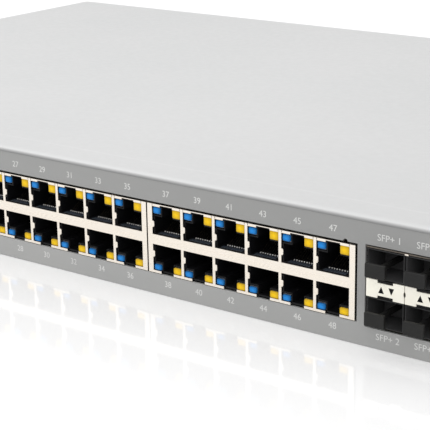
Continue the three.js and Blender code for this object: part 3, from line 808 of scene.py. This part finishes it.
# %% Shields
TONGUES = (26.4 * MM, 15.2 * MM)
TONGUE_W = 0.8 * MM
TONGUE_H = 2.4 * MM
TONGUE_Y = (FACE + 0.02 * MM, FACE + 0.3 * MM)
BULGE = (0.25 * MM, 0.3 * MM, 0)
BULGE_TAPER = 0.7
SLIT_W = 0.22 * MM
SLIT_INSET = 0.15 * MM
SLIT_Y = (FACE - MM, FACE + 0.8 * MM)
SLIT_Z = (shield_high.z - 0.75 * MM, shield_high.z + MM)


def tongue(x, z):
    """A spring tongue at the left edge of an opening: a plate whose free side is pulled out as a bump."""
    plate = start_slab("tongue", x, TONGUE_W, TONGUE_Y, (z - TONGUE_H / 2, z + TONGUE_H / 2))
    choose(plate, "FACE", lambda center, normal: normal.x > 0.9)
    bpy.ops.mesh.extrude_region_move(TRANSFORM_OT_translate={"value": BULGE})
    bpy.ops.transform.resize(value=(1, 1, BULGE_TAPER))
    done()
    return plate


shield = start_from_node("jack_shield_1", "jack_shield_skin_1")
slits = []
for x in columns:
    for side in (-1, 1):
        at = first + x + side * (OPENING / 2 - SLIT_INSET)
        slits.append(start_slab("slit", at, SLIT_W, SLIT_Y, SLIT_Z))
combine(shield, [gather("slits", slits)], "DIFFERENCE")
soften(shield, 0.07 * MM)
tongues = [tongue(first + x - OPENING / 2, z) for x in columns for z in TONGUES]
fingers = soften(gather("fingers", tongues), 0.08 * MM)
shield = gather("jack_shield_skin_1", [shield, fingers])
finish_blocks(shield, "jack_shield_skin", shield_metal, "shield_metal", "jack_shield")
print("shield faces:", len(shield.data.polygons))

# %% [markdown]
# ### Housings
# The black mouldings carry the stepped openings. Their shape is already right in the engineering model, so
# they only need the small radius that a mould leaves on every edge.

# %% Housings
housing = soften(start_from_node("jack_housing_1", "jack_moulding_1"), 0.12 * MM)
finish_blocks(housing, "jack_moulding", jack_plastic, "jack_plastic", "jack_housing")
print("housing faces:", len(housing.data.polygons))

# %% [markdown]
# ### Spring contacts
# Each port has eight gilded wires. A wire comes out of the moulding's comb just inside the mouth and slopes
# back into the port, so that it springs when the plug arrives. One wire is drawn by extruding a small disc
# along that path. The lower row is the upper row turned over.

# %% Contacts
CONTACTS = 8
CONTACT_PITCH = 1.016 * MM
CONTACT_R = 0.15 * MM
WIRE_START = (0, 3.3 * MM, 0.12 * MM)
WIRE_STEPS = ((0, 0.25, 0.12), (0, 0.35, 0.02), (0, 2.4, 1.5), (0, 3.2, 1.5), (0, 1.2, 0.2))
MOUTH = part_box("jack_housing_1")[0].y
UPPER_FLOOR = 22.9 * MM
LOWER_ROOF = 18.6 * MM


def contact_wire():
    """A wire from the mouth of a port into it, for a floor at height 0 and a mouth at 0."""
    deselect()
    bpy.ops.mesh.primitive_circle_add(
        vertices=8, radius=CONTACT_R, fill_type="NGON", location=WIRE_START, rotation=(math.pi / 2, 0, 0))
    wire = settle("wire")
    choose(wire, "FACE", lambda center, normal: True)
    for step in WIRE_STEPS:
        move = [value * MM for value in step]
        bpy.ops.mesh.extrude_region_move(TRANSFORM_OT_translate={"value": move})
    bpy.ops.mesh.select_all(action="SELECT")
    bpy.ops.mesh.normals_make_consistent(inside=False)
    done()
    return smooth(wire)


def fill_rows(model, name):
    """Copies of the model for every contact of the first block, joined. The lower row is turned over."""
    copies = []
    for x in columns:
        for i in range(CONTACTS):
            spot = first + x + (i - (CONTACTS - 1) / 2) * CONTACT_PITCH
            over = Matrix.Translation((spot, MOUTH, LOWER_ROOF)) @ Matrix.Rotation(math.pi, 4, "Y")
            copies.append(copy_to(model, "copy", (spot, MOUTH, UPPER_FLOOR)))
            copies.append(copy_to(model, "copy", over))
    bpy.data.objects.remove(model)
    return gather(name, copies)


contacts = fill_rows(contact_wire(), "jack_contacts_1")
# The wires get the darkened gold, as painted shade.
finish_blocks(contacts, "jack_contacts", contact_gold, "shield_metal")
print("contact faces in a block:", len(contacts.data.polygons))

# %% [markdown]
# ### Contact crowns
# Where a contact bends over the comb it faces the light, and from outside that bend is all one sees of it:
# a row of bright dots. A small rounded block stands for each bend, in a near-white metal that is brighter
# than the rest of the wire, a painted highlight.

# %% Contact crowns
CROWN_LOW = (-0.26 * MM, 2.75 * MM, -0.15 * MM)
CROWN_HIGH = (0.26 * MM, 3.3 * MM, 0.42 * MM)
crown = soften(start_box("crown", CROWN_LOW, CROWN_HIGH), 0.16 * MM, 3)
crowns = fill_rows(crown, "jack_crowns_1")
finish_blocks(crowns, "jack_crowns", contact_tin, "shield_metal")
print("crowns in a block:", COLUMNS * 2 * CONTACTS)

# %% [markdown]
# ### Combs
# The contacts lie in a comb whose teeth keep them apart. The teeth are low bars between the wires, nine to
# a port, in a lighter copy of the black housing plastic, painted light, because light gets to the mouth
# and not to what is behind.

# %% Combs
COMB_W = 0.72 * MM
COMB_H = 0.12 * MM
COMB_Y = (MOUTH + 0.15 * MM, MOUTH + 2.2 * MM)
teeth = []
for x in columns:
    for i in range(CONTACTS + 1):
        spot = first + x + (i - CONTACTS / 2) * CONTACT_PITCH
        for low in (UPPER_FLOOR, LOWER_ROOF - COMB_H):
            teeth.append(start_slab("tooth", spot, COMB_W, COMB_Y, (low, low + COMB_H)))
finish_blocks(gather("jack_combs_1", teeth), "jack_combs", comb_plastic, "jack_plastic")
print("teeth in a block:", len(teeth))

# %% [markdown]
# ### Lit windows
# At two corners of each port a light pipe ends in a small coloured window, blue for link and yellow for
# speed. A window is a box with a softly crowned face. An attribute holds how far each point is from its
# window's middle, and the finish uses it to fade the glow towards the rim.

# %% Windows
WINDOW_FACE = FACE + 0.1 * MM
WINDOW_DEPTH = 1.2 * MM
WINDOW_ROUND = 0.45 * MM
# How many half-widths from a window's middle its rim colour is reached.
RIM = 1.2


def window(left, right, low, high):
    """A crowned window between these sides and heights, in metres."""
    piece = start_box("window", (left, WINDOW_FACE, low), (right, WINDOW_FACE + WINDOW_DEPTH, high))
    choose(piece, "FACE", lambda center, normal: normal.y < -0.9)
    bpy.ops.mesh.subdivide(number_cuts=3)
    bpy.ops.mesh.select_all(action="SELECT")
    done()
    soften(piece, WINDOW_ROUND, 4)
    middle = Vector(((left + right) / 2, WINDOW_FACE, (low + high) / 2))
    reach = Vector(((right - left) / 2, 1, (high - low) / 2))
    values = piece.data.attributes.new("from_middle", "FLOAT", "POINT")
    for point, value in zip(piece.data.vertices, values.data):
        away = point.co - middle
        value.value = min(1.0, math.hypot(away.x / reach.x, away.z / reach.z) / RIM)
    return piece


# Each colour's finish, then its windows' sides from a port's middle and their heights in both rows, in mm.
WINDOWS = {
    "blue": (blue_light, (-6.1, -3.05), (30.35, 32.7), (9.15, 11.2)),
    "yellow": (yellow_light, (2.6, 6.2), (29.9, 33.0), (9.05, 11.4)),
}
for word, (material, reach, upper, lower) in WINDOWS.items():
    for i, middle in enumerate(block_middles, 1):
        parts = []
        for x in columns:
            ends = [middle + x + value * MM for value in reach]
            for row in (upper, lower):
                parts.append(window(*ends, *[value * MM for value in row]))
        lamps = gather(f"{word}_windows_{i}", parts)
        finish_as(lamps, material, "light_pipe")
print("windows per colour and block:", len(columns) * 2)

# %% [markdown]
# ## The optical ports
# The cage is folded from thin steel round four deep cavities, and its steel is darkened as painted shade.
# Between its rows sits a white moulding that brings light to the arrows, one up and one down for each
# column. A fine seam with an oval slot divides it.

# %% Cage
cage = start_from_node("sfp_cage", "sfp_housing")
cage_low, cage_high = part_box("sfp_cage")
WALL_TOP = 34.3 * MM
WALL_SET_BACK = 0.7 * MM
choose(cage, "FACE", lambda center, normal: True)
bpy.ops.mesh.bisect(plane_co=(0, 0, WALL_TOP), plane_no=(0, 0, 1))
done()


def on_wall_end(center, normal):
    """Whether a face is the front end of a wall, under the top sheet."""
    return normal.y < -0.9 and center.z < WALL_TOP and center.y < cage_low.y + NEAR


choose(cage, "FACE", on_wall_end)
bpy.ops.transform.translate(value=(0, WALL_SET_BACK, 0))
done()
soften(cage, 0.06 * MM)
finish_as(cage, cage_metal, "bare_steel", "sfp_cage")
print("cage faces:", len(cage.data.polygons))

# %% [markdown]
# ### The cage's lip
# The cage's front edge is folded back on itself and touches the panel's opening. The fold is a thin bar
# in a paler copy of the cage's steel, a painted highlight, since it is the one part of the cage that faces
# the light.

# %% The cage's front lip
LIP_Y = (cage_low.y - 0.08 * MM, cage_low.y + 0.6 * MM)
lip = start_box("cage_lip", (cage_low.x + NEAR, LIP_Y[0], cage_high.z - 0.42 * MM),
                (cage_high.x - NEAR, LIP_Y[1], cage_high.z + 0.06 * MM))
soften(lip, 0.06 * MM)
finish_as(lip, lip_metal, "bare_steel")
print("lip faces:", len(lip.data.polygons))

# %% [markdown]
# ### The light bar
# The seam and the oval slot are cut out of the moulding with a boolean. A dark strip of painted shade
# stands in them, just behind the bar's face, because a cut in white plastic fills with scattered light and
# would hardly be seen.

# %% Light bar
bar = start_from_node("sfp_light_bar", "light_bar")
bar_low, bar_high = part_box("sfp_light_bar")
SEAM_W = 0.28 * MM
SEAM_Y = (bar_low.y - MM, bar_low.y + 1.3 * MM)
SHADE_W = MM
SHADE_Y = (bar_low.y + 0.4 * MM, bar_low.y + 0.9 * MM)
OVAL_R = 0.45 * MM
OVAL_STRETCH = 2.2
cage_middle = (bar_low.x + bar_high.x) / 2
bar_middle = (bar_low.z + bar_high.z) / 2
seam = start_slab("seam", cage_middle, SEAM_W, SEAM_Y, (bar_low.z - MM, bar_high.z + MM))
oval_middle = (cage_middle, bar_low.y, bar_middle)
oval = start_bar("oval", oval_middle, OVAL_R, 5 * MM, 24)
choose(oval, "FACE", lambda center, normal: True)
bpy.ops.transform.resize(value=(1, 1, OVAL_STRETCH), center_override=oval_middle)
done()
combine(bar, [seam, oval], "DIFFERENCE")
soften(bar, 0.12 * MM)
finish_as(bar, white_plastic, "white_plastic", "sfp_light_bar")
shade = start_slab("bar_seam_shade", cage_middle, SHADE_W, SHADE_Y, (bar_low.z + NEAR, bar_high.z - NEAR))
finish_as(shade, cage_metal, "bare_steel")
print("light bar (mm):", [round(v / MM, 1) for v in bar_high - bar_low])

# %% [markdown]
# ### Latch tabs
# A tab of the cage reaches into each of the four notches and holds a module when it is pushed in. They are
# plain flat strips, set back from the bar's face, in the housings' black plastic as painted shade in the
# notches.

# %% Latch tabs in the bar's notches
CAGE_PITCH = 14.25 * MM
CAGE_COLUMNS = [cage_middle - CAGE_PITCH / 2, cage_middle + CAGE_PITCH / 2]
TAB_W = 5.6 * MM
TAB_H = 0.85 * MM
TAB_PROUD = 0.02 * MM
TAB_Y = (bar_low.y + 0.3 * MM, bar_low.y + 0.6 * MM)
tabs = []
for x in CAGE_COLUMNS:
    for z in (bar_high.z - TAB_H + TAB_PROUD, bar_low.z - TAB_PROUD):
        tabs.append(start_slab("tab", x, TAB_W, TAB_Y, (z, z + TAB_H)))
latches = soften(gather("sfp_latch_tabs", tabs), 0.05 * MM)
finish_as(latches, jack_plastic, "plug_plastic")
print("latch tabs:", len(tabs))

# %% [markdown]
# ### Arrows
# Each arrow is printed beside the port it speaks for. A cylinder with three sides is already a triangle, so
# the arrows are such cylinders, turned to face forwards and set just into the bar's face.

# %% Arrows
ARROW_R = 1.4 * MM
ARROW_DEPTH = 0.3 * MM
ARROW_SHAPE = (0.86, 1, 1.1, 1)
# Each arrow's place beside its column's middle, its rise over the bar's middle, and its turn about Y.
ARROWS = ((-1.45 * MM, -0.3 * ARROW_R, 0), (2.3 * MM, 0.28 * ARROW_R, math.pi))


def arrow(x, rise, turn):
    """A flat triangle in the bar's face, a little taller than it is wide."""
    deselect()
    bpy.ops.mesh.primitive_cylinder_add(vertices=3, radius=ARROW_R, depth=ARROW_DEPTH, location=(0, 0, 0))
    piece = bpy.context.object
    tip = max(piece.data.vertices, key=lambda v: v.co.y).co
    stand = Matrix.Rotation(math.pi / 2, 4, "X") @ Matrix.Rotation(math.atan2(tip.x, tip.y), 4, "Z")
    narrow = Matrix.Diagonal(ARROW_SHAPE)
    spot = Matrix.Translation((x, bar_low.y + NEAR, bar_middle + rise))
    piece.data.transform(spot @ Matrix.Rotation(turn, 4, "Y") @ narrow @ stand)
    return piece


marks = []
for x in CAGE_COLUMNS:
    for beside, rise, turn in ARROWS:
        marks.append(arrow(x + beside, rise, turn))
arrows = soften(gather("light_bar_arrows", marks), 0.05 * MM)
finish_as(arrows, arrow_ink, "plug_plastic")
print("arrows:", len(marks))

# %% [markdown]
# ### The bright tab
# One small tab of bare metal closes the cage between the two columns. It is rounded strongly, so that it
# takes a highlight from any side.

# %% Cage tab
GLINT_LOW = (cage_middle - 0.3 * MM, bar_low.y - 0.2 * MM, 34.13 * MM)
GLINT_HIGH = (cage_middle + 1.2 * MM, bar_low.y + 0.3 * MM, 34.68 * MM)
tab = start_box("cage_tab", GLINT_LOW, GLINT_HIGH)
soften(tab, 0.24 * MM, 3)
finish_as(tab, shield_metal, "shield_metal")
print("tab faces:", len(tab.data.polygons))

# %% [markdown]
# ### Dust plugs
# A dust plug is a soft cup that fills its port, with a stem from the cup's floor to a grip plate for two
# fingers. The cup is hollowed from a box by an inset and an extrusion. The stem and the plate are joined to
# each other, and stay apart from the cup, because the cup gets a lighter copy of their plastic, painted
# light for its lit inside walls and floor.

# %% Dust plug
plug_low, plug_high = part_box("dust_plug_1")
plug_middle = (plug_low + plug_high) / 2
CUP_FACE = cage_low.y - 0.2 * MM
CUP_WALL = 0.22 * MM
CUP_DEPTH = 10.7 * MM
CUP_TAPER = (0.97, 1, 0.96)
CUP_W = plug_high.x - plug_low.x + 0.3 * MM
STEM_W = 1.4 * MM
STEM_Y = (plug_low.y + MM, CUP_FACE + CUP_DEPTH + 0.4 * MM)
STEM_Z = (plug_middle.z - 0.9 * MM, plug_middle.z + 0.9 * MM)
GRIP_W = 7.4 * MM
GRIP_Y = (plug_low.y, plug_low.y + 1.5 * MM)
GRIP_Z = (plug_middle.z - 2.35 * MM, plug_middle.z + 2.35 * MM)

cup = start_slab("cup", plug_middle.x, CUP_W, (CUP_FACE, plug_high.y), (plug_low.z, plug_high.z))
choose(cup, "FACE", lambda center, normal: normal.y < -0.9)
bpy.ops.mesh.inset(thickness=CUP_WALL, depth=0)
bpy.ops.mesh.extrude_region_move(TRANSFORM_OT_translate={"value": (0, CUP_DEPTH, 0)})
bpy.ops.transform.resize(value=CUP_TAPER)
done()
soften(cup, 0.05 * MM)
stem = start_slab("stem", plug_middle.x, STEM_W, STEM_Y, STEM_Z)
grip = start_slab("grip", plug_middle.x, GRIP_W, GRIP_Y, GRIP_Z)
soften(grip, 0.32 * MM, 3)
soften(stem, 0.2 * MM, 3)
handle = smooth(combine(stem, [grip]))
handle.name = "dust_grip_1"
cup.name = "dust_cap_1"
print("plug faces:", len(cup.data.polygons) + len(handle.data.polygons))

# %% [markdown]
# ### Four plugs from one
# The four plugs are alike. The first is copied by the distance between their nodes. Each copy rides on its
# own body, so that it moves out with it.

# %% Four dust plugs
PLUGS = 4
PARTS = ((cup, cup_plastic), (handle, plug_plastic))
for i in range(2, PLUGS + 1):
    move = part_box(f"dust_plug_{i}")[0] - plug_low
    for part, material in PARTS:
        piece = copy_to(part, part.name.replace("1", str(i)), move)
        finish_as(piece, material, "plug_plastic", f"dust_plug_{i}", body=f"dust_plug_{i}")
for part, material in PARTS:
    finish_as(part, material, "plug_plastic", "dust_plug_1", body="dust_plug_1")
print("plugs:", PLUGS)

# %% [markdown]
# ## Printed numbers
# The port numbers are screen-printed in white. Odd numbers stand above the upper row and even ones below
# the lower row, which tells a person at the rack how the rows are counted. Each number is a text object
# made a mesh, so that it has a real, very thin, layer of ink.

# %% Numbers
NUMBER_SIZE = 3.2 * MM
INK = 0.03 * MM
ABOVE = 38.3 * MM
BELOW = 4.4 * MM
OPTICAL_X = 1.1 * MM
OPTICAL_ABOVE = 38.2 * MM
OPTICAL_BELOW = 4.2 * MM


def print_text(words, x, z):
    """A line of print, centred at x and z on the front."""
    deselect()
    bpy.ops.object.text_add(location=(0, 0, 0))
    label = bpy.context.object
    label.data.body = words
    label.data.size = NUMBER_SIZE
    label.data.align_x = "CENTER"
    label.data.align_y = "CENTER"
    label.data.extrude = INK
    label.data.resolution_u = 4
    bpy.ops.object.convert(target="MESH")
    label.data.transform(Matrix.Translation((x, FRONT, z)) @ Matrix.Rotation(math.pi / 2, 4, "X"))
    return label


labels = []
for block, middle in enumerate(block_middles):
    for column, x in enumerate(columns):
        number = 2 * (block * COLUMNS + column) + 1
        labels.append(print_text(str(number), middle + x, ABOVE))
        labels.append(print_text(str(number + 1), middle + x, BELOW))
for column, x in enumerate(CAGE_COLUMNS):
    labels.append(print_text(f"SFP+ {2 * column + 1}", x + OPTICAL_X, OPTICAL_ABOVE))
    labels.append(print_text(f"SFP+ {2 * column + 2}", x + OPTICAL_X, OPTICAL_BELOW))
numbers = gather("port_numbers", labels)
finish_as(numbers, print_ink, "white_plastic")
print("labels:", len(labels))

# %% [markdown]
# ## Front controls
# At the left end are the status lens and the reset button. Both are turned shapes with a crowned front. The
# lens has the windows' attribute, which is 0 all over it, so that it glows evenly.

# %% Lens and button
lens = soften(start_from_node("status_lens", "status_light"), 0.35 * MM, 3, 50)
lens.data.attributes.new("from_middle", "FLOAT", "POINT")
finish_as(lens, blue_light, "light_pipe", "status_lens")
button = soften(start_from_node("reset_button", "reset_plunger"), 0.25 * MM, 3, 50)
finish_as(button, jack_plastic, "jack_plastic", "reset_button", body="reset_button")
print("front controls: status_light, reset_plunger")

# %% [markdown]
# ## The rear
# The power inlet is a black moulding with three bare pins, and the fans show through the punched hexagons.

# %% Power inlet
inlet = soften(start_from_node("power_inlet", "inlet_moulding"), 0.2 * MM, 3)
finish_as(inlet, jack_plastic, "jack_plastic", "power_inlet")
low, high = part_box("power_inlet")
PIN_SPOTS = ((-7, -2), (0, 2), (7, -2))
PIN_W = 2.16 * MM
PIN_H = 4.16 * MM
PIN_Y = (high.y - 16.9 * MM, high.y - 6.9 * MM)
pins = []
for across, upward in PIN_SPOTS:
    x = (low.x + high.x) / 2 + across * MM
    z = (low.z + high.z) / 2 + upward * MM
    pins.append(start_slab("pin", x, PIN_W, PIN_Y, (z - PIN_H / 2, z + PIN_H / 2)))
blades = soften(gather("inlet_pins", pins), 0.4 * MM, 3)
finish_as(blades, pin_metal, "screw_steel")
print("inlet pins:", len(pins))

# %% [markdown]
# ### Fans
# A frame stays with the case, and its wheel rides on the body that turns. Both are copies of their nodes
# with a moulded radius, so the blades keep their clearance.

# %% Fans
FANS = 2
for i in range(1, FANS + 1):
    shell = soften(start_from_node(f"fan_frame_{i}", f"fan_shell_{i}"), 0.4 * MM, 2, 35)
    finish_as(shell, fan_plastic, "fan_plastic", f"fan_frame_{i}")
    wheel = soften(start_from_node(f"fan_rotor_{i}", f"fan_wheel_{i}"), 0.3 * MM, 2, 35)
    finish_as(wheel, fan_plastic, "fan_plastic", f"fan_rotor_{i}", body=f"fan_rotor_{i}")
print("fans:", FANS)

# %% [markdown]
# ## The floor
# The device stands on a glossy white table, which mirrors its front faintly and more softly with distance.

# %% Floor
FLOOR_SIZE = 14
FLOOR_GAP = 0.1 * MM
table_white, tree, shader, coords = new_finish(
    "table_white", (0.87, 0.87, 0.87), 0.05, IOR=1.75, Emission_Color=(1, 1, 1, 1), Emission_Strength=0.12)
vary_gloss(tree, shader, noise(tree, coords, 3, 2), 0.04, 0.07)
deselect()
bpy.ops.mesh.primitive_plane_add(size=FLOOR_SIZE, location=(0, 0, -FLOOR_GAP))
floor = bpy.context.object
floor.name = "floor"
floor.data.materials.append(table_white)
floor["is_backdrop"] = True
print("floor:", floor.dimensions.x, "m")

# %% [markdown]
# ## Measuring
# The last cell compares the size of the finished scene with that of the engineering model.
# The two should agree to within a few millimetres, because finishing must not change what the object is.

# %% Finish
visual_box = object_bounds()
growth = (*(cad_box[0] - visual_box[0]), *(visual_box[1] - cad_box[1]))
print("grown by (mm):", [round(value / MM, 2) for value in growth])
